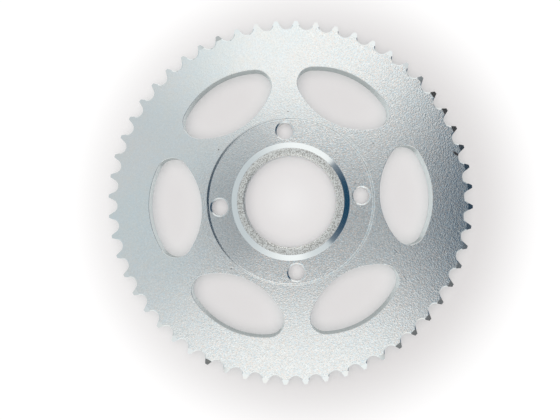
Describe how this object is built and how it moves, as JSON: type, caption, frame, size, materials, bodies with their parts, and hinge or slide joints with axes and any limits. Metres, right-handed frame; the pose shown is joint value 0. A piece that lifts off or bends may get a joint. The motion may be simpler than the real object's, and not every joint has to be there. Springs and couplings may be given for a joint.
{
  "type": "rear sprocket",
  "caption": "Flat steel rear drive sprocket: toothed rim, lens-shaped lightening holes, a turned recess for the hub bolts and a raised lip round the bore.",
  "frame": {"origin": "on the bore axis, at the back face that seats on the wheel hub", "axes": "+Z along the bore axis, out of the recessed front face; a tooth tip and a bolt hole lie on +X"},
  "size_m": [0.2308, 0.2308, 0.007],
  "materials": {
    "zinc_plated_steel": "blasted steel with bright bluish zinc plating, frosted, with a smooth machined cone"
  },
  "bodies": {
    "root": {"sprocket_plate": "zinc_plated_steel"}
  },
  "joints": []
}
